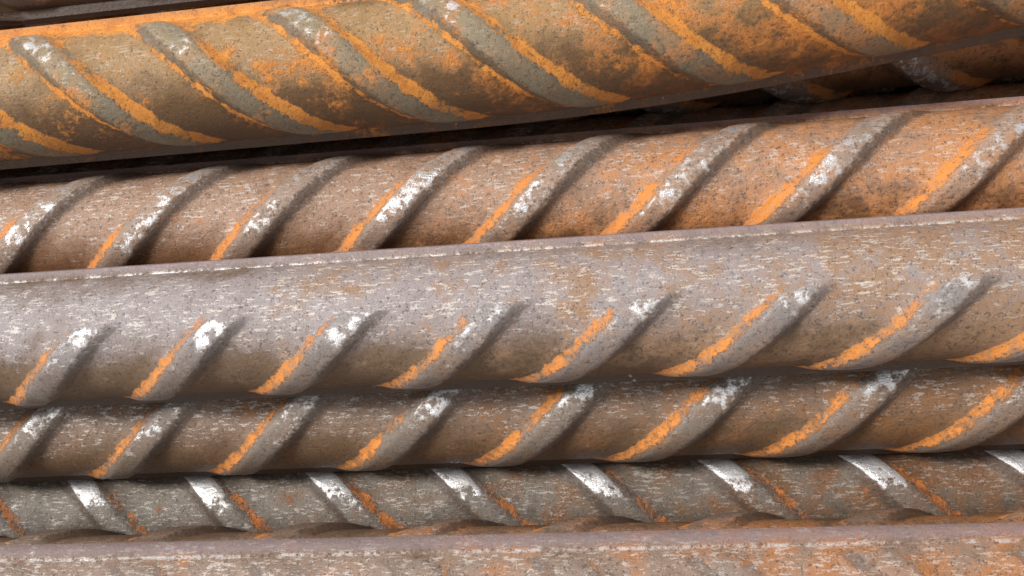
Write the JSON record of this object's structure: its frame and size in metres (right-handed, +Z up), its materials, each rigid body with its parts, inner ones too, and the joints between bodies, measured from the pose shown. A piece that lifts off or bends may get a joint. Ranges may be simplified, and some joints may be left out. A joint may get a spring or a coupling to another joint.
{
  "type": "rebar bundle",
  "caption": "Bundle of rusty ribbed steel reinforcing bars lying loose-packed in a low heap, held together by twisted wire ties.",
  "frame": {"origin": "middle of the underside, on the ground, halfway along the bars", "axes": "+X along the bars, +Y across them away from the viewer, +Z up"},
  "size_m": [3.024, 0.13, 0.0687],
  "materials": {
    "rusty_steel": "rusty hot-rolled steel, with bare worn ribs",
    "tie_wire": "dull annealed wire, lightly rusted"
  },
  "bodies": {
    "root": {"bar_01": "rusty_steel", "bar_02": "rusty_steel", "bar_03": "rusty_steel", "bar_04": "rusty_steel", "bar_05": "rusty_steel", "bar_06": "rusty_steel", "bar_07": "rusty_steel", "bar_08": "rusty_steel", "bar_09": "rusty_steel", "bar_10": "rusty_steel", "bar_11": "rusty_steel", "bar_12": "rusty_steel", "bar_13": "rusty_steel", "bar_14": "rusty_steel", "bar_15": "rusty_steel", "bar_16": "rusty_steel", "bar_17": "rusty_steel", "bar_18": "rusty_steel", "bar_19": "rusty_steel", "bar_20": "rusty_steel", "bar_21": "rusty_steel", "bar_22": "rusty_steel", "bar_23": "rusty_steel", "bar_24": "rusty_steel", "bar_25": "rusty_steel", "bar_26": "rusty_steel", "tie_left_1": "tie_wire", "tie_left_2": "tie_wire", "tie_right_1": "tie_wire", "tie_right_2": "tie_wire", "top_bar_back": "rusty_steel", "top_bar_front": "rusty_steel"}
  },
  "joints": []
}
